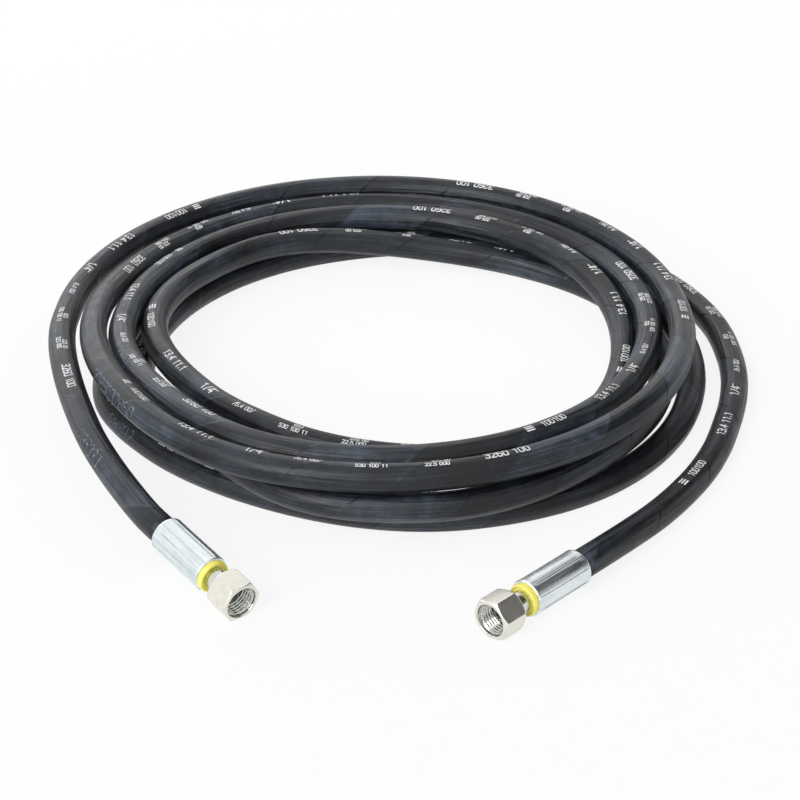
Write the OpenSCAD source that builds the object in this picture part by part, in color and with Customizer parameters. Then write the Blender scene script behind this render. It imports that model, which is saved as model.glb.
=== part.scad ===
// Hydraulic hose assembly, DN6 with one wire braid: a hose laid in a coil, with a crimped
// swivel-nut fitting on each end.  Millimetres, +Z up, the floor is z = 0.
// Each fitting is drawn along its own +Z, from the hose end of its ferrule to the nut's mouth.

/* [Hose] */
// Bore of the inner rubber tube
hose_bore = 6.4; // [6:0.1:7]
// Wall of the inner rubber tube
liner_wall = 1.65; // [1.4:0.05:1.9]
// Thickness of the wire braid
braid_wall = 0.7; // [0.6:0.05:0.9]
// Wall of the rubber cover
cover_wall = 1.15; // [0.9:0.05:1.4]

/* [Coil] */
// Radius of the first turn of the lower layer
coil_radius = 155.5; // [152:0.5:160]
// Free space between turns that lie side by side
turn_gap = 1.5; // [1.5:0.1:2.5]
// Free space between the two layers
layer_gap = 1.1; // [1:0.1:2]
// How far the spiral steps in where it reverses, beyond its steady pitch
reversal_step = 5.2; // [4.8:0.1:6]
// Shift of the upper layer to the left of the lower one
upper_shift_left = 14; // [14:0.25:15]
// Shift of the upper layer to the back of the lower one
upper_shift_back = 18.5; // [17:0.5:20]
// Extra height of the last turn, which lies across the ones below
crest_rise = 4; // [2:0.5:8]
// Depth of the flat where the lower layer bears on the floor
floor_flat = 1.34; // [0.8:0.01:1.6]

/* [Ferrule] */
// Wall of the crimped shell over the hose
ferrule_wall = 1.6; // [1.4:0.1:2.4]
// Length of the ferrule
ferrule_length = 33; // [31:0.5:36]
// Thickness of the front wall that locks on the insert
lock_wall = 2.6; // [2:0.1:3.4]
// How far the crimping teeth bite into the cover
tooth_bite = 0.45; // [0.2:0.05:0.6]
// Number of crimping teeth inside
tooth_count = 5; // [3:1:6]
// Number of jaw marks round the outside
crimp_jaws = 8; // [6:1:10]
// Height of the ridge that two jaws leave between them
crimp_ridge = 0.3; // [0.1:0.05:0.5]

/* [Insert] */
// Bore through the insert
insert_bore = 4.4; // [3.8:0.1:4.8]
// How much narrower the tail is than the hose's bore, under its barbs
tail_fit = 0.3; // [0.1:0.05:0.5]
// Height of a barb over the tail
barb_height = 0.35; // [0.2:0.05:0.5]
// Number of barbs
barb_count = 6; // [4:1:8]
// Diameter of the neck that the nut turns on
neck_d = 10; // [9.6:0.1:10.4]
// Length of neck to be seen between the ring and the nut
neck_show = 5.5; // [4:0.1:7]
// Width of the shoulder that the nut pulls on, over the neck
shoulder_height = 0.95; // [0.8:0.05:1]
// Length of the 24 degree cone
cone_length = 4; // [3.6:0.1:4.6]

/* [Nut] */
// Size across flats
nut_af = 17; // [16.5:0.1:19]
// Length of the nut
nut_length = 14; // [13.5:0.1:16]
// Minor diameter of the M14 x 1.5 internal thread
thread_minor = 12.4; // [12.3:0.1:12.6]
// Radial running clearance of the nut on the neck
nut_clearance = 0.08; // [0.02:0.01:0.1]
// Thickness of the nut's back wall
nut_back_wall = 2; // [1.6:0.1:2.4]
// Axial play of the nut on the insert
nut_play = 0.4; // [0.2:0.1:0.6]

/* [Ring and seal] */
// Wall of the plastic ring
ring_wall = 2.4; // [2.2:0.1:2.5]
// Thickness of the yellow plastic ring
ring_width = 2.7; // [2.4:0.1:3.6]
// Section of the O-ring on the cone
seal_section = 1.3; // [1.1:0.1:1.4]

/* [Place of the fittings] */
// Distance of each ferrule's hose end from the middle, to the left and to the right
fitting_spread = 88.4; // [87.5:0.1:89.5]
// Distance of the left ferrule's hose end to the back
left_back = 28.7; // [28:0.1:30]
// Distance of the right ferrule's hose end to the back
right_back = 11.7; // [11:0.1:13]
// Direction that the left nut faces, seen from above
left_heading = 309.5; // [308.5:0.5:310.5]
// Direction that the right nut faces, seen from above
right_heading = 225.5; // [224.5:0.5:226.5]
// Nose-down slope of the left fitting, which hangs off the top of the coil
left_slope = 7; // [6:0.5:8]
// Turn of the left nut about its axis
left_nut_roll = 30; // [0:1:60]
// Turn of the right nut about its axis
right_nut_roll = 44; // [0:1:60]

/* [Hidden] */
$fn = 96;

rubber = [0.16, 0.17, 0.19];
liner_rubber = [0.1, 0.1, 0.11];
brassed_wire = [0.62, 0.56, 0.42];
zinc = [0.8, 0.82, 0.82];
nut_zinc = [0.82, 0.83, 0.78];
ring_yellow = [0.94, 0.87, 0.2];

// Seat between pieces that are pressed or bonded together.
seat = 0.02;

// --- Diameters that follow from the walls --------------------------------------------------
liner_od = hose_bore + 2 * liner_wall;
braid_od = liner_od + 2 * braid_wall;
hose_od = braid_od + 2 * cover_wall;
tail_root = hose_bore - tail_fit;
shell_r = hose_od / 2 + ferrule_wall;
ferrule_od = 2 * (shell_r + crimp_ridge);

// --- Stations along a fitting, from the hose end of the ferrule ----------------------------
collar_width = 2.6;
hose_cut = ferrule_length - lock_wall - collar_width;
collar_end = hose_cut + collar_width;
nut_back = ferrule_length + ring_width + neck_show;
nut_mouth = nut_back + nut_length;
nut_seat = nut_back + nut_back_wall;
shoulder_start = nut_seat + nut_play;
shoulder_full = shoulder_start + shoulder_height;
shoulder_land = 0.4;
shoulder_end = shoulder_full + shoulder_land;
cone_tip = shoulder_end + cone_length;
nut_corner = nut_af / sqrt(3);

// --- Route of the hose ---------------------------------------------------------------------
// Turns are counted from the right-hand lead: 0 is the right side, 0.25 the back, 0.5 the left.
// The lower layer spirals in, the hose climbs where the spiral reverses, and the upper layer
// spirals out again.  One inner turn is tucked down beside its neighbour at the front.
coil_turns = 5.5;
rings_per_turn = 24;
hose_sides = 10;
turn_pitch = hose_od + turn_gap;
layer_rise = hose_od + layer_gap;
low_height = hose_od / 2 - floor_flat;
lower_centre = [16.6, 196.6];
upper_centre = lower_centre + [-upper_shift_left, upper_shift_back];
half_turns = 2.5;
reversal_turn = 2.24;
reversal_width = 0.39;
climb_width = 0.25;
inner_radius = coil_radius - half_turns * turn_pitch - reversal_step;
draw_in = 5;
draw_in_half = 0.125;
tuck_turn = 2.88;
tuck_half = 0.225;
tuck_out = 5;
crest_turn = 5;
crest_width = 0.4;
flare_turn = 0.31;
flare_out = 6.5;
flare_back = 11;
// Hand-laid turns are not true circles:
// [turn, half width in turns, shift of the radius as a share of the pitch].
shifts = [[0.535, 0.05, 0.2], [0.66, 0.12, -0.55], [0.76, 0.12, -0.26], [1.13, 0.18, 0.4],
    [1.61, 0.1, -0.74], [1.88, 0.12, -0.4], [2.12, 0.16, 0.42], [2.39, 0.14, -0.17],
    [2.51, 0.11, 0.25], [2.57, 0.14, -0.38], [2.72, 0.07, 0.13], [3.6, 0.09, -0.27],
    [4.58, 0.11, -0.34]];
// Three turns ride up and lean forward over the turns at the front:
// [turn and width of the rise, turn and width of the fall, height as a share of a layer].
rides = [[1.56, 0.12, 1.95, 0.14, 0.97], [3.53, 0.27, 3.9, 0.16, 0.95],
    [4.49, 0.23, 4.97, 0.16, 1]];
lean = 1.72;

function smooth(x) = let (t = min(max(x, 0), 1)) t * t * (3 - 2 * t);
function mix(a, b, t) = a + (b - a) * t;
function step_at(turn, middle, width) = smooth((turn - middle) / width + 0.5);
function bump_at(turn, middle, half) = smooth(1 - abs(turn - middle) / half);
function flare(turn) = smooth(1 - turn / flare_turn);
function total(list) = list * [for (value = list) 1];
function shift_at(turn) =
    turn_pitch * total([for (s = shifts) s[2] * bump_at(turn, s[0], s[1])]);
function ride_at(turn) = layer_rise * total([for (s = rides)
    s[4] * step_at(turn, s[0], s[1]) * (1 - step_at(turn, s[2], s[3]))]);

function coil_centre(turn) =
    mix(lower_centre, upper_centre, step_at(turn, reversal_turn, reversal_width))
    + [0, flare_back * flare(turn)];
function coil_reach(turn) =
    mix(coil_radius - turn_pitch * turn, inner_radius + turn_pitch * (turn - half_turns),
        step_at(turn, reversal_turn, reversal_width))
    - draw_in * bump_at(turn, reversal_turn, draw_in_half)
    + tuck_out * bump_at(turn, tuck_turn, tuck_half)
    + flare_out * flare(turn) + shift_at(turn);
function coil_height(turn) =
    low_height + layer_rise * step_at(turn, reversal_turn, climb_width)
    - layer_rise * bump_at(turn, tuck_turn, tuck_half)
    + crest_rise * step_at(turn, crest_turn, crest_width) + ride_at(turn);
function coil_point(turn) =
    let (c = coil_centre(turn), r = coil_reach(turn))
    [c[0] + r * cos(360 * turn), c[1] + r * sin(360 * turn) - lean * ride_at(turn),
        coil_height(turn)];

function unit(v) = v / norm(v);
half_step = 0.005;
function coil_heading(turn) = unit(coil_point(turn + half_step) - coil_point(turn - half_step));

// The coil's ends run straight for one hose diameter.
start_way = coil_heading(0);
finish_way = coil_heading(coil_turns);
coil_start = coil_point(0) - hose_od * start_way;
coil_finish = coil_point(coil_turns) + hose_od * finish_way;
coil_path = [
    coil_start,
    for (k = [0:coil_turns * rings_per_turn]) coil_point(k / rings_per_turn),
    coil_finish
];

// Each fitting's frame: where its ferrule starts, and the way it points.  The nut's lowest
// corner rests on the floor.
function corner_drop(roll) = nut_corner * cos(min(roll % 60, 60 - roll % 60));
function pointing(heading, slope) =
    [cos(heading) * cos(slope), sin(heading) * cos(slope), -sin(slope)];
left_way = pointing(left_heading, left_slope);
right_way = pointing(right_heading, 0);
left_foot = [-fitting_spread, left_back,
    nut_mouth * sin(left_slope) + corner_drop(left_nut_roll) * cos(left_slope)];
right_foot = [fitting_spread, right_back, corner_drop(right_nut_roll)];

// The free stretches, from the coil to the ferrules: place from above, and the share of the
// way from the coil's height to the ferrule's.  They follow when either of their ends moves.
left_route = [[-153.5, 184, 0.04], [-149.5, 164, 0.11], [-144, 143, 0.2], [-137, 121, 0.3],
    [-128.5, 98, 0.45], [-118.5, 76.5, 0.61], [-108, 57, 0.79]];
left_laid_from = [-155.3, 201.7];
left_laid_to = [-96.9, 38.9];
right_route = [[177.5, 176.5, 0], [174, 157.5, 0], [168.5, 137.5, 0], [161, 115, 0],
    [151.5, 94.5, 0], [140.5, 76, 0.07], [128, 58, 0.25], [114.5, 41, 0.58]];
right_laid_from = [178.9, 194.1];
right_laid_to = [97.8, 21.3];

function flat_part(p) = [p[0], p[1]];
function led(route, from, to, laid_from, laid_to) =
    let (n = len(route) + 1,
        slip_from = flat_part(from) - laid_from,
        slip_to = flat_part(to) - laid_to)
    [for (k = [0:len(route) - 1])
        let (p = flat_part(route[k]) + mix(slip_from, slip_to, (k + 1) / n))
        [p[0], p[1], mix(from[2], to[2], route[k][2])]];

left_bend = left_foot - hose_od * left_way;
right_bend = right_foot - hose_od * right_way;
left_path = [coil_finish, each led(left_route, coil_finish, left_bend, left_laid_from,
    left_laid_to), left_bend, left_foot];
right_path = [coil_start, each led(right_route, coil_start, right_bend, right_laid_from,
    right_laid_to), right_bend, right_foot];

// Least gap of the coil to itself, and the length of the hose, measured on its own points.
per_chord = 3;
finer = [for (k = [0:len(coil_path) - 2], s = [0:per_chord - 1])
    mix(coil_path[k], coil_path[k + 1], s / per_chord)];
third_turn = per_chord * rings_per_turn / 3;
coil_gap = min([for (i = [0:len(finer) - 1 - third_turn], j = [i + third_turn:len(finer) - 1])
    norm(finer[i] - finer[j])]) - hose_od;
function run(path, k = 0) =
    k == len(path) - 1 ? 0 : norm(path[k + 1] - path[k]) + run(path, k + 1);
hose_length = run(coil_path) + run(left_path) + run(right_path) + 2 * hose_cut;
echo(coil_gap = coil_gap, hose_length = hose_length);

// --- Swept hose ----------------------------------------------------------------------------
function middle_way(path, k) =
    unit(unit(path[k] - path[k - 1]) + unit(path[k + 1] - path[k]));
function hose_ring(centre, way, radius) =
    let (side = unit([way[1], -way[0], 0]), rise = cross(side, way))
    [for (k = [0:hose_sides - 1])
        let (a = 360 * (k + 0.5) / hose_sides,
            p = centre + radius * (cos(a) * side + sin(a) * rise))
        [p[0], p[1], max(p[2], 0)]];

module swept_hose(path, first_way, last_way) {
    last = len(path) - 1;
    n = hose_sides;
    bore = (last + 1) * n;
    ways = [for (k = [0:last]) k == 0 ? first_way : k == last ? last_way : middle_way(path, k)];
    outer = [for (k = [0:last]) each hose_ring(path[k], ways[k], hose_od / 2)];
    inner = [for (k = [0:last]) each hose_ring(path[k], ways[k], hose_bore / 2)];
    walls = [for (k = [0:last - 1], i = [0:n - 1])
        let (a = k * n + i, b = k * n + (i + 1) % n, c = a + n, d = b + n)
        each [[a, b, d], [a, d, c],
            [bore + a, bore + d, bore + b], [bore + a, bore + c, bore + d]]];
    ends = [for (i = [0:n - 1])
        let (j = (i + 1) % n, e = last * n)
        each [[i, bore + i, bore + j], [i, bore + j, j],
            [e + i, bore + e + j, bore + e + i], [e + i, e + j, bore + e + j]]];
    polyhedron(points = concat(outer, inner), faces = concat(walls, ends), convexity = 12);
}

module hose_coil() {
    color(rubber) swept_hose(coil_path, start_way, finish_way);
}

module hose_lead_left() {
    color(rubber) swept_hose(left_path, finish_way, left_way);
}

module hose_lead_right() {
    color(rubber) swept_hose(right_path, -start_way, right_way);
}

// --- The hose end under the ferrule --------------------------------------------------------
tooth_first = 5;
tooth_pitch = (hose_cut - 2 * tooth_first) / (tooth_count - 1);
tooth_width = 1.6;

// The teeth's profile, lifted off the cover by a gap.
function toothed(gap) = [
    for (k = [0:tooth_count - 1])
    let (z = tooth_first + k * tooth_pitch, half = tooth_width / 2, r = hose_od / 2 + gap)
    each [[r, z - half - tooth_bite], [r - tooth_bite, z - half],
        [r - tooth_bite, z + half], [r, z + half + tooth_bite]]
];

tail_start = 1.5;
tail_chamfer = 0.4;
tail_full = tail_start + 1;
barb_first = 4;
barb_end = 3;
barb_pitch = (hose_cut - barb_end - barb_first) / barb_count;
barb_crest = 0.75;
barb_foot = 0.85;

// The barbs' profile: each rises slowly towards the fitting and drops at once.
function barbed(gap) = [
    for (k = [0:barb_count - 1])
    let (z = barb_first + k * barb_pitch, r = tail_root / 2 + gap)
    each [[r, z], [r + barb_height, z + barb_pitch * barb_crest],
        [r, z + barb_pitch * barb_foot]]
];

module cover_end() {
    color(rubber) rotate_extrude() polygon(concat(
        [[braid_od / 2, 0], [hose_od / 2, 0]],
        toothed(0),
        [[hose_od / 2, hose_cut], [braid_od / 2, hose_cut]]));
}

module braid_end() {
    color(brassed_wire) rotate_extrude()
        translate([liner_od / 2 + seat, 0])
            square([braid_wall - 2 * seat, hose_cut]);
}

module liner_end() {
    color(liner_rubber) rotate_extrude() polygon(concat(
        [[liner_od / 2, 0], [hose_bore / 2, 0], [hose_bore / 2, tail_full - tail_chamfer],
            [tail_root / 2 + seat, tail_full]],
        barbed(seat),
        [[tail_root / 2 + seat, hose_cut], [liner_od / 2, hose_cut]]));
}

// --- Ferrule -------------------------------------------------------------------------------
grip_r = hose_od / 2 + seat;
entry_flare = 0.5;
entry_depth = 1.2;
back_chamfer = 0.6;
front_round = 0.8;
ridge_width = 0.9;
ridge_root = 1;
ridge_start = 1.6;
groove_r = neck_d / 2 + 0.3;

module ferrule() {
    half_round = front_round * (1 - sqrt(0.5));
    color(zinc) difference() {
        union() {
            rotate_extrude() polygon([
                [0, 0], [shell_r - back_chamfer, 0], [shell_r, back_chamfer],
                [shell_r, ferrule_length - front_round],
                [shell_r - half_round, ferrule_length - half_round],
                [shell_r - front_round, ferrule_length], [0, ferrule_length]]);
            for (k = [0:crimp_jaws - 1])
                rotate([0, 0, 360 * (k + 0.5) / crimp_jaws])
                    translate([shell_r - ridge_root, -ridge_width / 2, ridge_start])
                        cube([ridge_root + crimp_ridge, ridge_width,
                            ferrule_length - 2 * ridge_start]);
        }
        rotate_extrude() polygon(concat(
            [[0, -1], [grip_r + entry_flare, -1], [grip_r + entry_flare, 0],
                [grip_r, entry_depth]],
            toothed(seat),
            [[grip_r, collar_end], [groove_r + seat, collar_end],
                [groove_r + seat, ferrule_length + 1], [0, ferrule_length + 1]]));
    }
}

// --- Insert --------------------------------------------------------------------------------
collar_r = hose_od / 2 - 0.5;
neck_r = neck_d / 2;
shoulder_r = neck_r + shoulder_height;
cone_slope = tan(12);
tip_chamfer = 0.4;
seal_r = seal_section / 2;
seal_station = 1.6;
seal_play = 0.15;
groove_from = seal_station - seal_r - seal_play;
groove_to = seal_station + seal_r + seal_play;
seal_floor = neck_r - seal_station * cone_slope - 0.62 * seal_section;

module insert() {
    tail_r = tail_root / 2;
    color(zinc) difference() {
        rotate_extrude() polygon(concat(
            [[0, tail_start], [tail_r - tail_chamfer, tail_start], [tail_r, tail_full]],
            barbed(0),
            [[tail_r, hose_cut], [collar_r, hose_cut], [collar_r, collar_end],
                [groove_r, collar_end], [groove_r, ferrule_length], [neck_r, ferrule_length],
                [neck_r, shoulder_start], [shoulder_r, shoulder_full],
                [shoulder_r, shoulder_end], [neck_r, shoulder_end],
                [neck_r - groove_from * cone_slope, shoulder_end + groove_from],
                [seal_floor, shoulder_end + groove_from], [seal_floor, shoulder_end + groove_to],
                [neck_r - groove_to * cone_slope, shoulder_end + groove_to],
                [neck_r - (cone_length - tip_chamfer) * cone_slope, cone_tip - tip_chamfer],
                [neck_r - cone_length * cone_slope - tip_chamfer, cone_tip], [0, cone_tip]]));
        cylinder(h = cone_tip + 1, d = insert_bore);
    }
}

// --- Swivel nut ----------------------------------------------------------------------------
mouth_chamfer = 0.85;
face_r = nut_af / 2 - 0.3;
face_depth = (nut_corner - face_r) * tan(30);
rear_r = nut_af / 2 - 1.5;
rear_depth = 2.2;
relief_r = nut_af / 2 - 1.5;
tip_clearance = 0.3;
thread_start = cone_tip + tip_clearance;

module swivel_nut() {
    wall_r = thread_minor / 2;
    hole_r = neck_r + nut_clearance;
    color(nut_zinc) difference() {
        intersection() {
            translate([0, 0, nut_back]) cylinder(h = nut_length, r = nut_corner, $fn = 6);
            rotate_extrude() polygon([
                [0, nut_back], [rear_r, nut_back], [nut_corner, nut_back + rear_depth],
                [nut_corner, nut_mouth - face_depth], [face_r, nut_mouth], [0, nut_mouth]]);
        }
        rotate_extrude() polygon([
            [0, nut_back - 1], [hole_r, nut_back - 1], [hole_r, nut_seat],
            [relief_r, nut_seat + relief_r - hole_r],
            [relief_r, thread_start - relief_r + wall_r],
            [wall_r, thread_start], [wall_r, nut_mouth - mouth_chamfer],
            [wall_r + mouth_chamfer, nut_mouth], [wall_r + mouth_chamfer, nut_mouth + 1],
            [0, nut_mouth + 1]]);
    }
}

// --- Yellow ring and O-ring ----------------------------------------------------------------
module plastic_ring() {
    inner_r = neck_r + seat;
    bead = ring_wall / 2;
    color(ring_yellow) rotate_extrude() union() {
        translate([inner_r, ferrule_length]) square([ring_wall, ring_width - bead]);
        translate([inner_r + bead, ferrule_length + ring_width - bead])
            circle(r = bead, $fn = 32);
    }
}

module o_ring() {
    color(liner_rubber) rotate_extrude()
        translate([seal_floor + seal_r + seat, shoulder_end + seal_station])
            circle(r = seal_r, $fn = 32);
}

// --- Left and right fittings in their places -----------------------------------------------
module at_left() {
    translate(left_foot) rotate([0, 90 + left_slope, left_heading]) children();
}

module at_right() {
    translate(right_foot) rotate([0, 90, right_heading]) children();
}

module left_cover_end() { at_left() cover_end(); }
module left_braid_end() { at_left() braid_end(); }
module left_liner_end() { at_left() liner_end(); }
module left_insert() { at_left() insert(); }
module left_ferrule() { at_left() ferrule(); }
module left_ring() { at_left() plastic_ring(); }
module left_o_ring() { at_left() o_ring(); }
module left_nut() { at_left() rotate([0, 0, left_nut_roll]) swivel_nut(); }
module right_cover_end() { at_right() cover_end(); }
module right_braid_end() { at_right() braid_end(); }
module right_liner_end() { at_right() liner_end(); }
module right_insert() { at_right() insert(); }
module right_ferrule() { at_right() ferrule(); }
module right_ring() { at_right() plastic_ring(); }
module right_o_ring() { at_right() o_ring(); }
module right_nut() { at_right() rotate([0, 0, right_nut_roll]) swivel_nut(); }

hose_coil();
hose_lead_left();
hose_lead_right();
left_cover_end();
left_braid_end();
left_liner_end();
left_insert();
left_ferrule();
left_ring();
left_o_ring();
left_nut();
right_cover_end();
right_braid_end();
right_liner_end();
right_insert();
right_ferrule();
right_ring();
right_o_ring();
right_nut();
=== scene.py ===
import math

import bmesh
import bpy
from mathutils import Matrix, Vector


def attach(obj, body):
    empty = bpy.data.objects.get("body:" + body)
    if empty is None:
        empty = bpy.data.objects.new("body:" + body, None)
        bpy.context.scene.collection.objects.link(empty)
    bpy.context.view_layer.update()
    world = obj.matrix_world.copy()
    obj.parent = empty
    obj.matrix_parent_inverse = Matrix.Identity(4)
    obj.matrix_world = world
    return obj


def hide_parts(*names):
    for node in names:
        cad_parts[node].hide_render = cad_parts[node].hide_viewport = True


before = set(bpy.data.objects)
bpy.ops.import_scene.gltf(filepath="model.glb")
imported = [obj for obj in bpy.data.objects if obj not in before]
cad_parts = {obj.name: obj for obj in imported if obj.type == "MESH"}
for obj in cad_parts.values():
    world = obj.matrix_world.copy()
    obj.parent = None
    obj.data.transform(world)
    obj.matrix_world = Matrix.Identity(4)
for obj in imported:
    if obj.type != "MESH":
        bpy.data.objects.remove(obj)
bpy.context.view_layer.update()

# ---- Camera -------------------------------------------------------------------------------
# Looks down on the coil from 30 degrees above the floor, square to its front, with the two
# fittings in the foreground.
camera = bpy.data.objects.new("camera", bpy.data.cameras.new("camera"))
camera.data.sensor_width = 36.0
camera.data.lens = 100.62
camera.data.clip_start = 0.05
camera.location = (0.0126, -0.7815, 0.5500)
aim = Vector((0.0126, 0.1711, 0.0)) - camera.location
camera.rotation_euler = aim.to_track_quat("-Z", "Y").to_euler()
bpy.context.scene.collection.objects.link(camera)
bpy.context.scene.camera = camera

# ---- Hose: the route ----------------------------------------------------------------------
# One length of 13.4 mm rubber hose.  It spirals in on the floor, climbs where the spiral
# reverses, spirals out again on top and ends in a short lead at each fitting.
HOSE_OD = 0.0134
HOSE_R = HOSE_OD / 2
FLAT = 0.00134  # how far the underside is pressed flat on the floor
PITCH = HOSE_OD + 0.0015
LAYER = HOSE_OD + 0.0011

# The coil's measures, in metres, and its places, in turns from its start on the floor.  It is
# pinched where it reverses, its first turn flares out, a turn of the upper layer is tucked
# under, and the last turn is lifted a little.
COIL_R = 0.1555
TURNS, TURNS_IN = 5.5, 2.5
REVERSE, REVERSE_WIDTH, CLIMB_WIDTH = 2.24, 0.39, 0.25
PINCH, PINCH_HALF = 0.005, 0.125
INNER_SLACK = 0.0052
LOWER_X, LOWER_Y = 0.0166, 0.1966
UPPER_X, UPPER_Y = 0.0026, 0.2151
FLARE_TURNS, FLARE_OUT, FLARE_BACK = 0.31, 0.0065, 0.011
TUCK, TUCK_HALF, TUCK_OUT = 2.88, 0.225, 0.005
LAST_TURN, LAST_WIDTH, LAST_LIFT = 5.0, 0.4, 0.004

# Where a turn lies off the spiral: its middle, its half width and the shift in pitches.
SHIFTS = [(0.535, 0.05, 0.2), (0.66, 0.12, -0.55), (0.76, 0.12, -0.26), (1.13, 0.18, 0.4),
          (1.61, 0.1, -0.74), (1.88, 0.12, -0.4), (2.12, 0.16, 0.42), (2.39, 0.14, -0.17),
          (2.51, 0.11, 0.25), (2.57, 0.14, -0.38), (2.72, 0.07, 0.13), (3.6, 0.09, -0.27),
          (4.58, 0.11, -0.34)]

# Where a turn rides up: the middle and width of its climb and of its descent, and its height
# in layers.  A turn leans back by LEAN for each metre that it rides up.
RIDES = [(1.56, 0.12, 1.95, 0.14, 0.97), (3.53, 0.27, 3.9, 0.16, 0.95),
         (4.49, 0.23, 4.97, 0.16, 1.0)]
LEAN = 1.72


def smooth(x):
    """An even step from 0 to 1 as x goes from 0 to 1."""
    t = min(max(x, 0.0), 1.0)
    return t * t * (3.0 - 2.0 * t)


def mix(a, b, t):
    return a + (b - a) * t


def step_at(turn, middle, width):
    """Goes from 0 to 1 over a width of turns."""
    return smooth((turn - middle) / width + 0.5)


def bump_at(turn, middle, half):
    """Rises from 0 to 1 at the middle and falls back again."""
    return smooth(1.0 - abs(turn - middle) / half)


def coil_point(turn):
    """The hose's centre line at a number of turns from the coil's start."""
    over = step_at(turn, REVERSE, REVERSE_WIDTH)
    flare = smooth(1.0 - turn / FLARE_TURNS)
    tuck = bump_at(turn, TUCK, TUCK_HALF)
    shift = PITCH * sum(s * bump_at(turn, middle, half) for middle, half, s in SHIFTS)
    ride = LAYER * sum(h * step_at(turn, a, aw) * (1.0 - step_at(turn, b, bw))
                       for a, aw, b, bw, h in RIDES)
    inner = COIL_R - TURNS_IN * PITCH - INNER_SLACK
    reach = (mix(COIL_R - PITCH * turn, inner + PITCH * (turn - TURNS_IN), over) + shift
             - PINCH * bump_at(turn, REVERSE, PINCH_HALF) + TUCK_OUT * tuck
             + FLARE_OUT * flare)
    height = (HOSE_R - FLAT + LAYER * step_at(turn, REVERSE, CLIMB_WIDTH) - LAYER * tuck
              + LAST_LIFT * step_at(turn, LAST_TURN, LAST_WIDTH) + ride)
    angle = math.tau * turn
    return Vector((mix(LOWER_X, UPPER_X, over) + reach * math.cos(angle),
                   mix(LOWER_Y, UPPER_Y, over) + FLARE_BACK * flare
                   + reach * math.sin(angle) - LEAN * ride, height))


def coil_heading(turn):
    return (coil_point(turn + 0.005) - coil_point(turn - 0.005)).normalized()


def pointing(heading, slope):
    """The direction of a heading about the vertical, sloping down by an angle."""
    heading, slope = math.radians(heading), math.radians(slope)
    return Vector((math.cos(heading) * math.cos(slope), math.sin(heading) * math.cos(slope),
                   -math.sin(slope)))


# Each fitting points away from its foot, where the hose enters the ferrule.  It lies with its
# nut's edge on the floor, and the nut is rolled about its axis.
NUT_AF = 0.017
FITTING = 0.0552
CORNER = NUT_AF / math.sqrt(3.0)
LEFT_SLOPE, LEFT_HEADING, LEFT_ROLL = 7.0, 309.5, 30.0
RIGHT_SLOPE, RIGHT_HEADING, RIGHT_ROLL = 0.0, 225.5, 44.0


def nut_rest(roll):
    """The height of the nut's axis over the lowest point of its rolled hexagon."""
    return CORNER * math.cos(math.radians(60.0 - roll))


left_way = pointing(LEFT_HEADING, LEFT_SLOPE)
right_way = pointing(RIGHT_HEADING, RIGHT_SLOPE)
left_foot = Vector((-0.0884, 0.0287, FITTING * math.sin(math.radians(LEFT_SLOPE))
                    + nut_rest(LEFT_ROLL) * math.cos(math.radians(LEFT_SLOPE))))
right_foot = Vector((0.0884, 0.0117, nut_rest(RIGHT_ROLL)))

coil_start = coil_point(0.0) - HOSE_OD * coil_heading(0.0)
coil_finish = coil_point(TURNS) + HOSE_OD * coil_heading(TURNS)
left_bend = left_foot - HOSE_OD * left_way
right_bend = right_foot - HOSE_OD * right_way

# The leads from the coil to the fittings: x, y and the share of the change in height.  Below
# each are the ends between which it was laid out.
LEFT_ROUTE = [(-0.1535, 0.184, 0.04), (-0.1495, 0.164, 0.11), (-0.144, 0.143, 0.2),
              (-0.137, 0.121, 0.3), (-0.1285, 0.098, 0.45), (-0.1185, 0.0765, 0.61),
              (-0.108, 0.057, 0.79)]
LEFT_ENDS = ((-0.1553, 0.2017), (-0.0969, 0.0389))
RIGHT_ROUTE = [(0.1775, 0.1765, 0.0), (0.174, 0.1575, 0.0), (0.1685, 0.1375, 0.0),
               (0.161, 0.115, 0.0), (0.1515, 0.0945, 0.0), (0.1405, 0.076, 0.07),
               (0.128, 0.058, 0.25), (0.1145, 0.041, 0.58)]
RIGHT_ENDS = ((0.1789, 0.1941), (0.0978, 0.0213))


def led(route, start, end, laid):
    """The lead's points in place, slipped a little so that both of its ends meet."""
    slip_from = start.xy - Vector(laid[0])
    slip_to = end.xy - Vector(laid[1])
    out = []
    for k, (x, y, share) in enumerate(route):
        slip = slip_from.lerp(slip_to, (k + 1) / (len(route) + 1))
        out.append(Vector((x + slip.x, y + slip.y, mix(start.z, end.z, share))))
    return out


def spline(points, per_span):
    """A smooth curve through the points, from the second to the last but one."""
    out = []
    for k in range(1, len(points) - 2):
        p0, p1, p2, p3 = points[k - 1:k + 3]
        t1 = (p1 - p0).length ** 0.5
        t2 = t1 + (p2 - p1).length ** 0.5
        t3 = t2 + (p3 - p2).length ** 0.5
        for step in range(per_span):
            t = t1 + (t2 - t1) * step / per_span
            a1 = p0.lerp(p1, t / t1)
            a2 = p1.lerp(p2, (t - t1) / (t2 - t1))
            a3 = p2.lerp(p3, (t - t2) / (t3 - t2))
            b1 = a1.lerp(a2, t / t2)
            b2 = a2.lerp(a3, (t - t1) / (t3 - t1))
            out.append(b1.lerp(b2, (t - t1) / (t2 - t1)))
    out.append(points[-2])
    return out


def evenly(points, spacing):
    """The same line, walked in equal steps, and its length."""
    marks = [0.0]
    for a, b in zip(points, points[1:]):
        marks.append(marks[-1] + (b - a).length)
    count = max(2, round(marks[-1] / spacing))
    out, k = [], 0
    for i in range(count + 1):
        target = marks[-1] * i / count
        while k < len(points) - 2 and marks[k + 1] < target:
            k += 1
        gap = marks[k + 1] - marks[k]
        out.append(points[k].lerp(points[k + 1], (target - marks[k]) / gap))
    return out, marks[-1]


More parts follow.
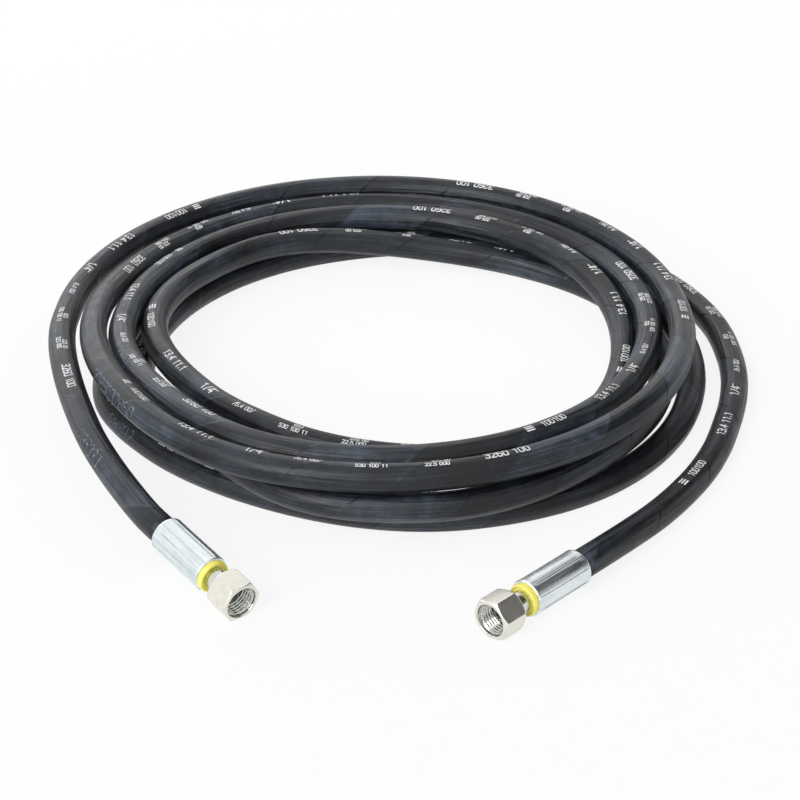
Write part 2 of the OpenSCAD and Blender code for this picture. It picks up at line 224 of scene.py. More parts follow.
SUNK = 0.0278  # how far the hose goes into each ferrule
KNOTS_PER_TURN = 48
POINTS_PER_SPAN = 12
COVER_STEP = 0.0045
knots = [left_foot + SUNK * left_way, left_foot, left_bend]
knots += reversed(led(LEFT_ROUTE, coil_finish, left_bend, LEFT_ENDS))
knots.append(coil_finish)
knots += [coil_point(TURNS - k / KNOTS_PER_TURN)
          for k in range(int(TURNS * KNOTS_PER_TURN) + 1)]
knots.append(coil_start)
knots += led(RIGHT_ROUTE, coil_start, right_bend, RIGHT_ENDS)
knots += [right_bend, right_foot, right_foot + SUNK * right_way]
fine = spline(knots, POINTS_PER_SPAN)
line, hose_run = evenly(fine, COVER_STEP)
hose_step = hose_run / (len(line) - 1)


def hose_frames(points):
    """At each point of the hose: its place, its side and its top."""
    out = []
    for k, place in enumerate(points):
        way = (points[min(k + 1, len(points) - 1)] - points[max(k - 1, 0)]).normalized()
        side = Vector((way.y, -way.x, 0.0)).normalized()
        out.append((place, side, side.cross(way)))
    return out


hose_line = hose_frames(line)


def on_hose(distance, angle, lift=0.0):
    """The point of the cover at a distance along the hose and an angle from its side."""
    at = min(max(distance / hose_step, 0.0), len(line) - 1.001)
    k = int(at)
    share = at - k
    place, side, top = hose_line[k]
    place_b, side_b, top_b = hose_line[k + 1]
    centre = place.lerp(place_b, share)
    along = side.lerp(side_b, share).normalized()
    up = top.lerp(top_b, share).normalized()
    out = centre + (HOSE_R + lift) * (math.cos(angle) * along + math.sin(angle) * up)
    out.z = max(out.z, lift)
    return out


def add_object(name, bm):
    """A new piece from a bmesh, linked to the scene."""
    mesh = bpy.data.meshes.new(name)
    bm.normal_update()
    bm.to_mesh(mesh)
    bm.free()
    obj = bpy.data.objects.new(name, mesh)
    bpy.context.scene.collection.objects.link(obj)
    return obj


# ---- Hose: the rubber cover ---------------------------------------------------------------
# Wrapped-cure cover: a smooth charcoal rubber with the faint spiral edge that the curing tape
# leaves every 48 mm.  Random patches and lengthwise streaks lighten it towards a blue-grey
# that is a painted sheen, on top of the rubber's own random tone.
HOSE_SIDES = 28
bm = bmesh.new()
uv = bm.loops.layers.uv.new("cover")
rows = []
for k in range(len(line)):
    rows.append([bm.verts.new(on_hose(k * hose_step, math.tau * i / HOSE_SIDES))
                 for i in range(HOSE_SIDES)])
for k in range(len(rows) - 1):
    for i in range(HOSE_SIDES):
        j = (i + 1) % HOSE_SIDES
        face = bm.faces.new((rows[k][i], rows[k][j], rows[k + 1][j], rows[k + 1][i]))
        face.smooth = True
        for loop, (u, v) in zip(face.loops, ((i, k), (i + 1, k), (i + 1, k + 1), (i, k + 1))):
            loop[uv].uv = (u / HOSE_SIDES, v * hose_step)
bm.faces.new(list(reversed(rows[0])))
bm.faces.new(rows[-1])
bmesh.ops.recalc_face_normals(bm, faces=bm.faces)
hose = add_object("hose", bm)
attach(hose, "hose")
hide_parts("hose_coil", "hose_lead_left", "hose_lead_right")


def paint(code):
    """A colour written as sRGB hex, in the linear numbers that a shader takes."""
    parts = [int(code[k:k + 2], 16) / 255.0 for k in (1, 3, 5)]
    return tuple(p / 12.92 if p <= 0.04045 else ((p + 0.055) / 1.055) ** 2.4
                 for p in parts) + (1.0,)


def new_material(name):
    """A material, its node tree, its shader and its texture coordinates."""
    material = bpy.data.materials.new(name)
    material.use_nodes = True
    tree = material.node_tree
    coords = tree.nodes.new("ShaderNodeTexCoord")
    return material, tree, tree.nodes["Principled BSDF"], coords.outputs


def add_node(tree, kind, inputs, **settings):
    """One node; each input is a number, a colour or another node's socket."""
    made = tree.nodes.new("ShaderNode" + kind)
    for name, value in settings.items():
        setattr(made, name, value)
    for key, value in inputs.items():
        if isinstance(value, bpy.types.NodeSocket):
            tree.links.new(value, made.inputs[key])
        else:
            made.inputs[key].default_value = value
    return made


def reckon(tree, operation, a, b=0.0, c=0.0):
    return add_node(tree, "Math", {0: a, 1: b, 2: c}, operation=operation).outputs[0]


def ramp(tree, factor, stops):
    """A colour ramp through (place, hex colour) stops."""
    made = add_node(tree, "ValToRGB", {"Fac": factor})
    elements = made.color_ramp.elements
    while len(elements) < len(stops):
        elements.new(0.5)
    for element, (place, code) in zip(elements, stops):
        element.position = place
        element.color = paint(code)
    return made.outputs["Color"]


def noise(tree, vector, scale, detail, rough):
    return add_node(tree, "TexNoise", {"Vector": vector, "Scale": scale, "Detail": detail,
                                       "Roughness": rough}).outputs["Fac"]


def span(tree, value, low, high, to_low, to_high):
    """The value, carried from one range over to another."""
    return add_node(tree, "MapRange", {"Value": value, "From Min": low, "From Max": high,
                                       "To Min": to_low, "To Max": to_high}).outputs["Result"]


def around_and_along(tree, around, along, girth, stretch):
    """Noise space wrapped about a round piece, so that it has no seam."""
    turn = reckon(tree, "MULTIPLY", around, math.tau)
    return add_node(tree, "CombineXYZ", {
        0: reckon(tree, "MULTIPLY", reckon(tree, "COSINE", turn), girth),
        1: reckon(tree, "MULTIPLY", reckon(tree, "SINE", turn), girth),
        2: reckon(tree, "MULTIPLY", along, stretch)}).outputs[0]


def colour_and_roughness(tree, shader, colour, roughness):
    tree.links.new(colour, shader.inputs["Base Color"])
    tree.links.new(roughness, shader.inputs["Roughness"])


def emboss(tree, shader, height, strength, distance):
    """Bump from a height; the distance is in metres."""
    bump = add_node(tree, "Bump", {"Height": height, "Strength": strength,
                                   "Distance": distance})
    tree.links.new(bump.outputs["Normal"], shader.inputs["Normal"])


WRAP_PITCH = 0.048
WRAP_EDGE = 0.035
rubber, tree, shader, coords = new_material("cured_cover_rubber")
split = add_node(tree, "SeparateXYZ", {0: coords["UV"]})
around, along = split.outputs[0], split.outputs[1]
wrap = reckon(tree, "SUBTRACT", reckon(tree, "DIVIDE", along, WRAP_PITCH), around)
tape = reckon(tree, "ADD", reckon(tree, "FLOOR", wrap), around)
tape_tone = add_node(tree, "TexNoise", {"W": tape, "Scale": 0.9, "Detail": 1.0},
                     noise_dimensions="1D").outputs["Fac"]
# Random broad patches, and lengthwise streaks that also give the creases' bump; where they
# lighten the rubber to blue-grey they are a painted sheen.
bloom_and_sheen_patches = noise(tree, coords["Object"], 34.0, 4.0, 0.62)
smudge = noise(tree, coords["Object"], 150.0, 3.0, 0.6)
crease_and_sheen_streaks = noise(tree, around_and_along(tree, around, along, 1.0, 5.0), 5.0, 4.0, 0.6)
facets = noise(tree, around_and_along(tree, around, along, 1.0, 9.0), 1.5, 2.0, 0.45)
edge = span(tree, reckon(tree, "FRACT", wrap), 0.0, WRAP_EDGE, 1.0, 0.0)
tone = reckon(tree, "MULTIPLY_ADD", tape_tone, 1.0, -1.80)
for layer, weight in ((crease_and_sheen_streaks, 1.5), (smudge, 0.7), (bloom_and_sheen_patches, 1.3), (edge, -0.30)):
    tone = reckon(tree, "MULTIPLY_ADD", layer, weight, tone)
# The light blue-grey end of this ramp is a painted sheen; its dark end is the rubber's own
# colour.
colour_and_roughness(tree, shader,
                     ramp(tree, tone, [(0.1, "#0c0f12"), (0.42, "#181c22"),
                                       (0.68, "#272d37"), (1.0, "#434d5b")]),
                     span(tree, smudge, 0.3, 0.7, 0.33, 0.48))
shader.inputs["Specular IOR Level"].default_value = 0.4
lumps = reckon(tree, "MULTIPLY_ADD", facets, 3.4, crease_and_sheen_streaks)
emboss(tree, shader, reckon(tree, "MULTIPLY_ADD", edge, 0.5, lumps), 0.6, 0.0007)
hose.data.materials.append(rubber)

# ---- Hose: the printed marks --------------------------------------------------------------
# White layline: plain numbers for the bore and the pressures, with other plain numbers and
# short bars between them.  It repeats about every 36 cm along the crown of the hose and
# drifts around it as the hose twists.
DIGITS = {
    "0": [[(0.1, 0), (0.45, 0), (0.55, 0.14), (0.55, 0.86), (0.45, 1), (0.1, 1), (0, 0.86),
           (0, 0.14), (0.1, 0)]],
    "1": [[(0.14, 0.8), (0.36, 1), (0.36, 0)]],
    "2": [[(0, 0.84), (0.12, 1), (0.43, 1), (0.55, 0.86), (0.55, 0.62), (0, 0), (0.55, 0)]],
    "3": [[(0, 0.9), (0.12, 1), (0.43, 1), (0.55, 0.87), (0.55, 0.66), (0.4, 0.54),
           (0.18, 0.54)],
          [(0.4, 0.54), (0.55, 0.42), (0.55, 0.13), (0.43, 0), (0.12, 0), (0, 0.1)]],
    "4": [[(0.42, 0), (0.42, 1), (0, 0.3), (0.58, 0.3)]],
    "5": [[(0.52, 1), (0.05, 1), (0.03, 0.57), (0.4, 0.6), (0.55, 0.45), (0.55, 0.14),
           (0.42, 0), (0.1, 0), (0, 0.1)]],
    "6": [[(0.5, 0.9), (0.42, 1), (0.13, 1), (0, 0.85), (0, 0.15), (0.12, 0), (0.43, 0),
           (0.55, 0.13), (0.55, 0.43), (0.43, 0.56), (0.12, 0.56), (0, 0.45)]],
    "8": [[(0.12, 0.54), (0, 0.68), (0, 0.88), (0.12, 1), (0.43, 1), (0.55, 0.88),
           (0.55, 0.68), (0.43, 0.54), (0.12, 0.54), (0, 0.4), (0, 0.13), (0.12, 0),
           (0.43, 0), (0.55, 0.13), (0.55, 0.4), (0.43, 0.54)]],
    "/": [[(0, -0.02), (0.5, 1.02)]],
    ".": [[(0.12, 0), (0.12, 0.1)]],
    "-": [[(0.02, 0.5), (0.62, 0.5)]],
    "=": [[(0.0, 0.5), (1.2, 0.5)]],
}

# How far the pen moves on for each character, and the gap after it, as shares of the height.
ADVANCE = {".": 0.34, "/": 0.62, "-": 0.8, "=": 1.4, " ": 0.5}
DIGIT_ADVANCE, LETTER_GAP = 0.78, 0.2

# Each entry: the text, how far before the layline's end it is centred, its height, how far
# its line lies above the crown, and its stroke width.
LAYLINE = [("3260", 0.0020, 0.0037, 0.0, 0.00060), ("100", -0.0098, 0.0036, 0.0, 0.00055),
           ("22.5 000", 0.0290, 0.0020, -0.0014, 0.00040),
           ("225 00", 0.0270, 0.0020, 0.0016, 0.00040),
           ("530 100 11", 0.0575, 0.0020, -0.0014, 0.00040),
           ("853", 0.0560, 0.0020, 0.0016, 0.00040),
           ("/6.4 00/", 0.0860, 0.0024, 0.0, 0.00042),
           ("1/4", 0.1115, 0.0042, 0.0, 0.00066), ("-", 0.1063, 0.0040, 0.0014, 0.00050),
           ("13.4 11.1", 0.1440, 0.0037, 0.0, 0.00060),
           ("100100", 0.1880, 0.0032, 0.0, 0.00050), ("=", 0.2020, 0.0030, 0.0014, 0.0008),
           ("=", 0.2020, 0.0030, 0.0, 0.0008), ("=", 0.2020, 0.0030, -0.0014, 0.0008)]

# Where each layline ends along the hose, and its angle in degrees there and at its beginning.
LAYLINES = [(0.133, 94, 74), (0.503, 84, 100), (0.888, 87, 68), (1.246, 68, 125),
            (1.586, 88, 96), (1.954, 72, 104), (2.312, 87, 100), (2.650, 96, 104),
            (2.974, 96, 118), (3.330, 52, 58), (3.686, 90, 90), (4.042, -40, -30),
            (4.398, 90, 90), (4.690, 94, 92), (4.972, 100, 93)]
LAYLINE_RUN = 0.19
INK_STEP, INK_LIFT = 0.0008, 0.00005
STROKE_OVERRUN = 0.4


def drift(end, angle_end, angle_start):
    """A layline's angle around the hose, as a function of the distance along it."""
    def angle_at(s):
        return mix(angle_end, angle_start, min(max((s - end) / LAYLINE_RUN, -0.1), 1.1))
    return angle_at


def draw(bm, text, centre, angle_at, height, rise, stroke, lift):
    """Draws the text as thin strips on the cover, reading back along the hose."""
    width = sum(ADVANCE.get(c, DIGIT_ADVANCE) for c in text) * height - LETTER_GAP * height
    pen = centre + width / 2
    for letter in text:
        for chain in DIGITS.get(letter, []):
            spots = [(pen - x * height, rise + (y - 0.5) * height) for x, y in chain]
            for (s0, h0), (s1, h1) in zip(spots, spots[1:]):
                run = math.hypot(s1 - s0, h1 - h0)
                along, across = (s1 - s0) / run, (h1 - h0) / run
                over = stroke * STROKE_OVERRUN
                s0, h0 = s0 - along * over, h0 - across * over
                s1, h1 = s1 + along * over, h1 + across * over
                count = max(1, math.ceil(run / INK_STEP))
                pairs = []
                for k in range(count + 1):
                    s, h = mix(s0, s1, k / count), mix(h0, h1, k / count)
                    pair = []
                    for sign in (-0.5, 0.5):
                        at = s - across * stroke * sign
                        up = h + along * stroke * sign
                        angle = math.radians(angle_at(at)) - up / HOSE_R
                        pair.append(bm.verts.new(on_hose(at, angle, lift)))
                    pairs.append(pair)
                for a, b in zip(pairs, pairs[1:]):
                    bm.faces.new((a[0], a[1], b[1], b[0]))
        pen -= ADVANCE.get(letter, DIGIT_ADVANCE) * height


def grained(name, noise_inputs, stops, roughness, metallic=0.0, relief=None):
    """A material that one noise tones and roughens, with relief for its bump if it has one."""
    material, tree, shader, coords = new_material(name)
    grain = noise(tree, coords["Object"], *noise_inputs)
    colour_and_roughness(tree, shader, ramp(tree, grain, stops),
                         span(tree, grain, 0.3, 0.7, *roughness))
    shader.inputs["Metallic"].default_value = metallic
    if relief:
        emboss(tree, shader, grain, *relief)
    return material


bm = bmesh.new()
for end, angle_end, angle_start in LAYLINES:
    angle_at = drift(end, angle_end, angle_start)
    for text, back, height, rise, stroke in LAYLINE:
        draw(bm, text, end + back, angle_at, height, rise, stroke, INK_LIFT)
marks = add_object("hose_layline", bm)
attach(marks, "hose")
marks.data.materials.append(grained(
    "white_layline_ink", (900.0, 3.0, 0.6),
    [(0.3, "#a9aeb3"), (0.4, "#e6e8e9"), (0.6, "#fafafa")], (0.5, 0.65)))

# Faint blue-grey numbers that have come off on the outer side of a few turns: where, at what
# angle in degrees, and the number.
GHOSTS = [(0.070, 142, "285030"), (1.090, 162, "2085032850"), (2.020, 135, "28503"),
          (4.490, 155, "28502"), (0.170, 140, "0-2")]
GHOST_HEIGHT, GHOST_STROKE, GHOST_LIFT = 0.0058, 0.0007, 0.00003
bm = bmesh.new()
for middle, angle, text in GHOSTS:
    draw(bm, text, middle, drift(middle, angle, angle), GHOST_HEIGHT, 0.0, GHOST_STROKE,
         GHOST_LIFT)
ghosts = add_object("hose_ghost_marks", bm)
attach(ghosts, "hose")
ghosts.data.materials.append(grained(
    "rubbed_off_ink", (420.0, 4.0, 0.65),
    [(0.40, "#2b3037"), (0.52, "#55616f"), (0.66, "#8492a3")], (0.6, 0.5)))

# ---- Ferrules -----------------------------------------------------------------------------
# Bright zinc-plated steel shells, crimped onto the hose by eight jaws, which leave a low
# ridge between each pair and a slight flat under each.
FERRULE = 0.033
SHELL_WALL = 0.0016
SHELL_R = HOSE_R + SHELL_WALL
JAWS = 8
CRIMP_START, CRIMP_EASE = 0.0016, 0.0008
CRIMP_DEPTH, RIDGE, BOW = 0.00008, 0.00026, 0.00012
CRIMP_ROWS = 30
LIP = 0.0008
LOCK_R, LOCK_BACK = 0.00535, 0.0304
SEAT_R = HOSE_R + 0.00002
CREASE = 35.0
left_place = (Matrix.Translation(left_foot)
              @ Matrix.Rotation(math.radians(LEFT_HEADING), 4, "Z")
              @ Matrix.Rotation(math.radians(90.0 + LEFT_SLOPE), 4, "Y"))
right_place = (Matrix.Translation(right_foot)
               @ Matrix.Rotation(math.radians(RIGHT_HEADING), 4, "Z")
               @ Matrix.Rotation(math.radians(90.0 + RIGHT_SLOPE), 4, "Y"))
ends = (("left", left_place, LEFT_ROLL), ("right", right_place, RIGHT_ROLL))


def turned(name, rows, angles, place):
    """A closed body of revolution: rows of (radius function or number, height)."""
    bm = bmesh.new()
    uv = bm.loops.layers.uv.new("skin")
    rings = []
    for radius, z in rows:
        ring = []
        for angle in angles:
            r = radius(angle) if callable(radius) else radius
            ring.append(bm.verts.new((r * math.cos(angle), r * math.sin(angle), z)))
        rings.append(ring)
    count = len(angles)
    for k in range(len(rings)):
        here, there = rings[k], rings[(k + 1) % len(rings)]
        for i in range(count):
            j = (i + 1) % count
            face = bm.faces.new((here[i], here[j], there[j], there[i]))
            face.smooth = True
            shares = (i / count, (i + 1) / count, (i + 1) / count, i / count)
            for loop, share in zip(face.loops, shares):
                loop[uv].uv = (share, loop.vert.co.z)
    bmesh.ops.recalc_face_normals(bm, faces=bm.faces)
    bm.transform(place)
    obj = add_object(name, bm)
    obj.data.set_sharp_from_angle(angle=math.radians(CREASE))
    return obj


def ferrule_skin(z):
    """The crimped radius at a height, as a function of the angle."""
    sunk = (smooth((z - CRIMP_START) / CRIMP_EASE)
            * smooth((FERRULE - CRIMP_START - z) / CRIMP_EASE))

    def radius(angle):
        off = abs((angle / (math.tau / JAWS)) % 1.0 - 0.5)
        ridge = smooth((0.088 - off) / 0.035)
        bow = BOW * (1.0 - (2.0 * off) ** 2)
        return SHELL_R - sunk * CRIMP_DEPTH + sunk * (RIDGE * ridge - bow * (1.0 - ridge))
    return radius


# The points of one jaw's share of the round, closer where its two ridges end.
JAW_POINTS = (0.0, 0.1, 0.2, 0.3, 0.38, 0.411, 0.420, 0.430, 0.440, 0.449, 0.5, 0.551, 0.560,
              0.570, 0.580, 0.589, 0.62, 0.7, 0.8, 0.9)
ferrule_angles = [math.tau / JAWS * (jaw + share) for jaw in range(JAWS)
                  for share in JAW_POINTS]
ferrule_rows = [(HOSE_R + 0.00052, 0.0), (SHELL_R - 0.0006, 0.0), (SHELL_R - 0.00018, 0.00018),
                (SHELL_R, 0.0006)]
ferrule_rows += [(ferrule_skin(z), z) for z in
                 [0.0010 + k * (FERRULE - 0.0020) / CRIMP_ROWS for k in range(CRIMP_ROWS + 1)]]
ferrule_rows += [(SHELL_R - LIP * (1 - math.cos(math.radians(a))),
                  FERRULE - LIP + LIP * math.sin(math.radians(a)))
                 for a in (10, 30, 50, 70, 90)]
ferrule_rows += [(LOCK_R, FERRULE), (LOCK_R, LOCK_BACK), (SEAT_R, LOCK_BACK),
                 (SEAT_R, 0.0012)]

zinc, tree, shader, coords = new_material("bright_zinc_plated_steel")
split = add_node(tree, "SeparateXYZ", {0: coords["UV"]})
around, along = split.outputs[0], split.outputs[1]
# Painted reflection: lengthwise light and dark bands in the zinc's colour.  The fine
# lengthwise streaks are drawing marks, and they also tone the colour as a painted reflection.
drawn_marks_and_reflections = noise(tree, around_and_along(tree, around, along, 20.0, 45.0), 1.0, 5.0, 0.7)
painted_reflection_bands = noise(tree, around_and_along(tree, around, along, 2.6, 8.0), 1.0, 2.0, 0.5)
cloud = noise(tree, coords["Object"], 300.0, 3.0, 0.6)
tone = reckon(tree, "MULTIPLY", cloud, 0.15)
for layer, weight in ((painted_reflection_bands, 0.4), (drawn_marks_and_reflections, 0.45)):
    tone = reckon(tree, "MULTIPLY_ADD", layer, weight, tone)
colour_and_roughness(tree, shader,
                     ramp(tree, tone, [(0.32, "#8d979f"), (0.43, "#d2dce0"),
                                       (0.6, "#f2f7f7")]),
                     span(tree, drawn_marks_and_reflections, 0.35, 0.65, 0.27, 0.38))
shader.inputs["Metallic"].default_value = 1.0
emboss(tree, shader, drawn_marks_and_reflections, 0.2, 0.0003)

for name, place, roll in ends:
    shell = turned(name + "_ferrule_shell", ferrule_rows, ferrule_angles, place)
    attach(shell, "hose")
    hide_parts(name + "_ferrule")
    shell.data.materials.append(zinc)

# ---- Plastic rings ------------------------------------------------------------------------
# A moulded yellow ring sits against the front of each ferrule: a rounded bead with a sunken
# face inside it.
RING_SIDES = 96
ring_angles = [math.tau * i / RING_SIDES for i in range(RING_SIDES)]
ring_rows = [(0.00502, 0.03301), (0.00722, 0.03301), (0.00740, 0.03320), (0.00742, 0.03350),
             (0.00742, 0.03450), (0.00736, 0.03495), (0.00720, 0.03530), (0.00697, 0.03553),
             (0.00671, 0.03562), (0.00645, 0.03553), (0.00629, 0.03534), (0.00620, 0.03512),
             (0.00612, 0.03488), (0.00598, 0.03472), (0.00570, 0.03468), (0.00502, 0.03468)]
yellow = grained("moulded_yellow_plastic", (700.0, 3.0, 0.6),
                 [(0.3, "#f6ea5c"), (0.7, "#fdf48a")], (0.32, 0.45), relief=(0.08, 0.0002))
for name, place, roll in ends:
    band = turned(name + "_plastic_ring", ring_rows, ring_angles, place)
    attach(band, "hose")
    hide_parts(name + "_ring")
    band.data.materials.append(yellow)

# ---- Nuts ---------------------------------------------------------------------------------
# 17 mm hexagon swivel nuts, cut with an M14 x 1.5 thread and held behind the insert's
# shoulder, so each spins freely about its fitting.
NUT_BACK, NUT_SEAT, NUT_MOUTH = 0.0412, 0.0432, 0.0552
NUT_BORE_R = 0.00508
REAR_R, REAR_CHAMFER = 0.0070, 0.0022
FRONT_R, FRONT_SLOPE = 0.0082, 1.732
EDGE_POWER = 90.0  # the higher, the sharper the nut's edges
FLAT_POINTS = (-29.0, -28.0, -26.0, -22.5, -17.0, -9.0, 0.0, 9.0, 17.0, 22.5, 26.0, 28.0, 29.0,
               30.0)
nut_angles = sorted(math.radians(sector * 60.0 + 30.0 + off)
                    for sector in range(6) for off in FLAT_POINTS)


def nut_skin(z):
    """The nut's outside at a height: six flats and two chamfer cones, their edges eased."""
    rear = REAR_R + (z - NUT_BACK) * (CORNER - REAR_R) / REAR_CHAMFER
    front = FRONT_R + (NUT_MOUTH - z) * FRONT_SLOPE

    def radius(angle):
        total = 0.0
        for k in range(6):
            lean = math.cos(angle - math.radians(30.0 + 60.0 * k))
            if lean > 0.2:
                total += (lean / (NUT_AF / 2)) ** EDGE_POWER
        total += (1.0 / rear) ** EDGE_POWER + (1.0 / front) ** EDGE_POWER
        return min(total ** (-1.0 / EDGE_POWER), CORNER)
    return radius


THREAD_PITCH, THREAD_DEPTH = 0.0015, 0.0008
THREAD_MINOR_R, THREAD_MAJOR_R = 0.0062, 0.0070
THREAD_TOP, THREAD_END = 0.05435, 0.0466
THREAD_ROWS = 62


def thread_skin(z):
    """The thread's radius at a height, which climbs one pitch in each turn."""
    fade = smooth((THREAD_TOP - z) / 0.0009) * smooth((z - THREAD_END) / 0.0006)

    def radius(angle):
        phase = (z / THREAD_PITCH - angle / math.tau) % 1.0
        crest = abs(phase * 2.0 - 1.0)
        depth = min(max((crest - 0.12) / 0.76, 0.0), 1.0)
        return THREAD_MINOR_R + THREAD_DEPTH * (1.0 - fade + fade * depth)
    return radius


nut_rows = [(nut_skin(NUT_BACK + d), NUT_BACK + d) for d in
            (0.0, 0.0003, 0.0006, 0.0009, 0.0012, 0.0015, 0.0018, 0.0021, 0.0025, 0.0032)]
nut_rows += [(nut_skin(NUT_MOUTH - d), NUT_MOUTH - d) for d in
             (0.0060, 0.0022, 0.0016, 0.0012, 0.00095, 0.00075, 0.00055, 0.0004, 0.00025,
              0.00012)]
nut_rows += [(0.0081, NUT_MOUTH), (0.00738, NUT_MOUTH), (0.00730, NUT_MOUTH - 0.00006),
             (THREAD_MAJOR_R, NUT_MOUTH - 0.0006)]
outside_rows = len(nut_rows) - 2
nut_rows += [(thread_skin(z), z) for z in
             [THREAD_TOP - k * (THREAD_TOP - THREAD_END) / THREAD_ROWS
              for k in range(THREAD_ROWS + 1)]]
nut_rows += [(THREAD_MAJOR_R, 0.0462), (THREAD_MAJOR_R, NUT_SEAT + 0.0019),
             (NUT_BORE_R, NUT_SEAT), (NUT_BORE_R, NUT_BACK)]

nut_steel, tree, shader, coords = new_material("clear_zinc_nut_steel")
cloud = noise(tree, coords["Object"], 320.0, 4.0, 0.6)
speck = noise(tree, coords["Object"], 2200.0, 2.0, 0.6)
tone = reckon(tree, "MULTIPLY_ADD", cloud, 0.7, reckon(tree, "MULTIPLY", speck, 0.3))
colour_and_roughness(tree, shader,
                     ramp(tree, tone, [(0.3, "#dedcd1"), (0.5, "#e6e4da"),
                                       (0.72, "#ecebe3")]),
                     span(tree, cloud, 0.35, 0.65, 0.31, 0.36))
shader.inputs["Metallic"].default_value = 1.0
emboss(tree, shader, speck, 0.03, 0.0001)
cut_steel = grained("cut_thread_steel", (1500.0, 3.0, 0.6),
                    [(0.3, "#a6a8a2"), (0.7, "#d3d5cf")], (0.12, 0.2), metallic=1.0)

for name, place, roll in ends:
    nut = turned(name + "_swivel_nut", nut_rows, nut_angles,
                 place @ Matrix.Rotation(math.radians(roll), 4, "Z"))
    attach(nut, name + "_nut_body")
    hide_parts(name + "_nut")
    nut.data.materials.append(nut_steel)
    nut.data.materials.append(cut_steel)
    for polygon in nut.data.polygons:
        if polygon.index // len(nut_angles) >= outside_rows:
            polygon.material_index = 1

# ---- Inserts, seals and cut hose ends -----------------------------------------------------
# The turned insert's neck shows between the ring and the nut, and its cone and rubber O-ring
# in the nut's mouth.  Inside the ferrule lie the cut cover, the wire braid and the liner.
turned_zinc = grained("turned_zinc_plated_steel", (500.0, 4.0, 0.6),
                      [(0.3, "#c6c9c8"), (0.7, "#e4e6e3")], (0.18, 0.30), metallic=1.0,
                      relief=(0.05, 0.0002))
seal = grained("black_seal_rubber", (900.0, 3.0, 0.6),
               [(0.3, "#17181a"), (0.7, "#2a2b2e")], (0.35, 0.5))

wire, tree, shader, coords = new_material("brassed_wire_braid")
strands = add_node(tree, "TexWave", {"Vector": coords["Object"], "Scale": 900.0,
                                     "Distortion": 0.6}).outputs["Fac"]
colour_and_roughness(tree, shader,
                     ramp(tree, strands, [(0.2, "#6d603c"), (0.8, "#c8b67c")]),
                     span(tree, strands, 0.0, 1.0, 0.45, 0.3))
shader.inputs["Metallic"].default_value = 1.0
emboss(tree, shader, strands, 0.4, 0.0002)

finishes = {"insert": turned_zinc, "o_ring": seal, "cover_end": rubber, "braid_end": wire,
            "liner_end": seal}
for side in ("left", "right"):
    for piece, finish in finishes.items():
        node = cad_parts[side + "_" + piece]
        for mesh_slot in node.material_slots:
            mesh_slot.material = finish
        if not node.material_slots:
            node.data.materials.append(finish)

# ---- Floor and light ----------------------------------------------------------------------
# A white sweep under a wide soft sun.  Rays that come from the camera or off a mirror see the
# sweep and the backdrop as plain white, and the hose still casts its shadow on the sweep.


def seen_plainly(tree):
    """1 for rays from the camera or off a mirror, 0 for the light that falls on things."""
    rays = tree.nodes.new("ShaderNodeLightPath").outputs
    return reckon(tree, "MAXIMUM", rays["Is Camera Ray"],
                  reckon(tree, "MAXIMUM", rays["Is Glossy Ray"],
                         rays["Is Transmission Ray"]))


bm = bmesh.new()
bmesh.ops.create_grid(bm, x_segments=1, y_segments=1, size=6.0)
floor = add_object("floor", bm)
sweep, tree, shader, coords = new_material("matt_white_sweep")
tooth = noise(tree, coords["Object"], 60.0, 2.0, 0.5)
tree.links.new(ramp(tree, tooth, [(0.3, "#fbfbfb"), (0.7, "#fdfdfd")]),
               shader.inputs["Base Color"])
shader.inputs["Roughness"].default_value = 0.9
shader.inputs["Specular IOR Level"].default_value = 0.1
glow = add_node(tree, "Emission", {"Color": (1.0, 1.0, 1.0, 1.0), "Strength": 1.0})
blend = add_node(tree, "MixShader", {0: reckon(tree, "MULTIPLY", seen_plainly(tree), 0.86),
                                     1: shader.outputs["BSDF"], 2: glow.outputs[0]})
tree.links.new(blend.outputs[0], tree.nodes["Material Output"].inputs["Surface"])
floor.data.materials.append(sweep)

sun = bpy.data.objects.new("sun", bpy.data.lights.new("sun", "SUN"))
sun.data.energy = 2.0
sun.data.angle = math.radians(40.0)
sun.rotation_euler = Vector((-0.50, -0.66, 0.56)).to_track_quat("Z", "Y").to_euler()
bpy.context.scene.collection.objects.link(sun)

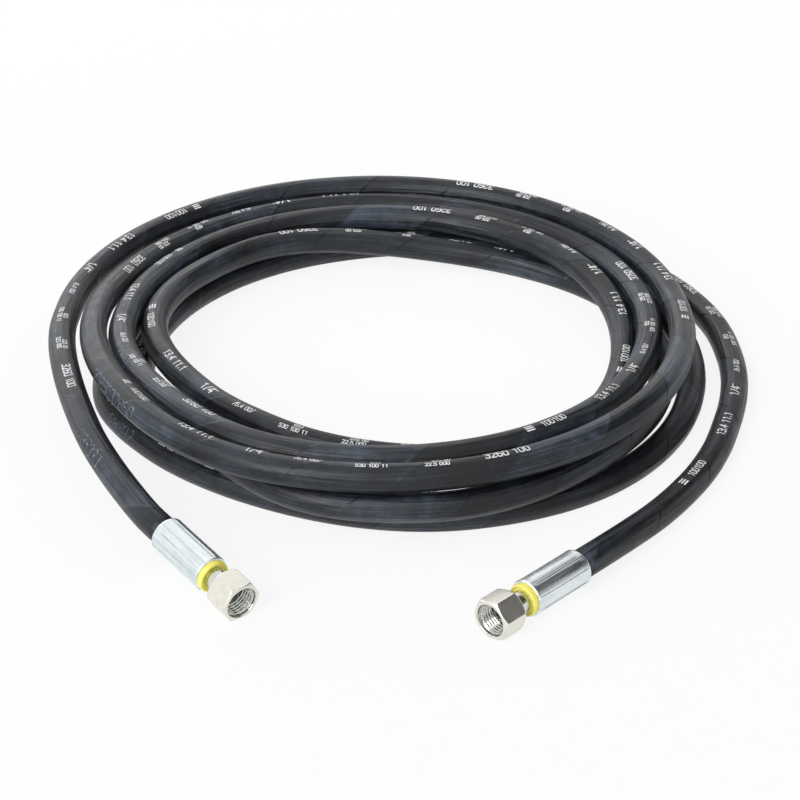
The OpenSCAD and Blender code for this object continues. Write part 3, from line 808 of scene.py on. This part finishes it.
# A long soft box low at the back left gives the rubber and the metal their sheen.
box_light = bpy.data.objects.new("soft_box", bpy.data.lights.new("soft_box", "AREA"))
box_light.data.shape = "RECTANGLE"
box_light.data.size, box_light.data.size_y = 1.6, 0.8
box_light.data.energy = 5.5
box_light.visible_camera = False
box_light.location = (-0.70, 1.35, 0.60)
box_light.rotation_euler = Vector((-0.70, 1.20, 0.60)).to_track_quat("Z", "Y").to_euler()
bpy.context.scene.collection.objects.link(box_light)

# A dark flag to the right, which only the metal's reflections show.
FLAG_PLACE = Vector((0.69, 0.23, 0.53))
bm = bmesh.new()
bmesh.ops.create_grid(bm, x_segments=1, y_segments=1, size=0.5)
bm.transform(Matrix.Translation(FLAG_PLACE)
             @ FLAG_PLACE.to_track_quat("Z", "Y").to_matrix().to_4x4()
             @ Matrix.Diagonal((1.15, 0.72, 1.0, 1.0)))
flag = add_object("dark_flag", bm)
flag.visible_camera = False
flag.visible_diffuse = False
flag.visible_shadow = False
felt, tree, shader, coords = new_material("dark_felt")
tree.links.new(ramp(tree, noise(tree, coords["Object"], 40.0, 3.0, 0.55),
                    [(0.3, "#232120"), (0.7, "#2a2827")]), shader.inputs["Base Color"])
shader.inputs["Roughness"].default_value = 1.0
flag.data.materials.append(felt)

world = bpy.data.worlds.new("studio")
world.use_nodes = True
tree = world.node_tree
backdrop = tree.nodes["Background"]
tree.links.new(span(tree, seen_plainly(tree), 0.0, 1.0, 0.5, 1.0), backdrop.inputs["Strength"])
backdrop.inputs["Color"].default_value = (1.0, 1.0, 1.0, 1.0)
bpy.context.scene.world = world
bpy.context.scene.view_settings.view_transform = "Standard"

# ---- Hose: the cord -----------------------------------------------------------------------
# The hose runs from the left ferrule through the whole coil to the right one; here its line is
# sampled in even steps, and the right fitting's pieces at its far end are listed.
CORD_STEP = 0.012
right_pieces = [bpy.data.objects["right_" + piece] for piece in
                ("ferrule_shell", "plastic_ring", "swivel_nut")]
right_pieces.append(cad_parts["right_insert"])
path = [tuple(point) for point in evenly(fine, CORD_STEP)[0]]
